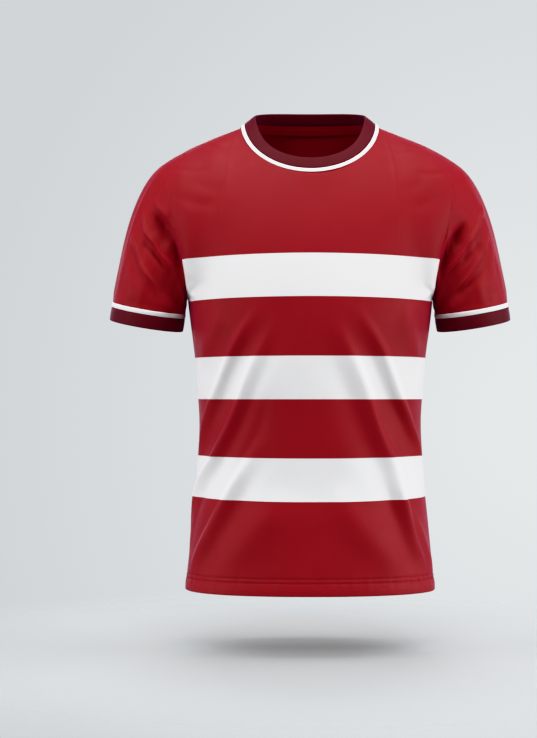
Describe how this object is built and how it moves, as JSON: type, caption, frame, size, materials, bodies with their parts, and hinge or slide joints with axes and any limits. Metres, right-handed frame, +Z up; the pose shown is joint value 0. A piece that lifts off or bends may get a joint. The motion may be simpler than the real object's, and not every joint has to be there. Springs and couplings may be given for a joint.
{
  "type": "football jersey",
  "caption": "Short-sleeved knit football jersey in its worn shape, with a crew neck, contrast cuffs and bands across the body.",
  "frame": {"origin": "midway between the two high shoulder points, where the neck seam crosses the shoulder seams", "axes": "+Z up from hem to neck, +X towards the wearer's left, -Y to the front"},
  "size_m": [0.6152, 0.2594, 0.7394],
  "materials": {
    "body_cloth": "matte fine knit",
    "edge_cloth": "matte fine knit",
    "band_cloth": "matte fine knit"
  },
  "bodies": {
    "root": {"front": "body_cloth", "back": "body_cloth", "sleeve_left": "body_cloth", "sleeve_right": "body_cloth", "collar_edge": "edge_cloth", "collar_band": "band_cloth", "neck_tape": "body_cloth", "cuff_stripe_left": "edge_cloth", "cuff_stripe_right": "edge_cloth", "cuff_left": "band_cloth", "cuff_right": "band_cloth"}
  },
  "joints": []
}
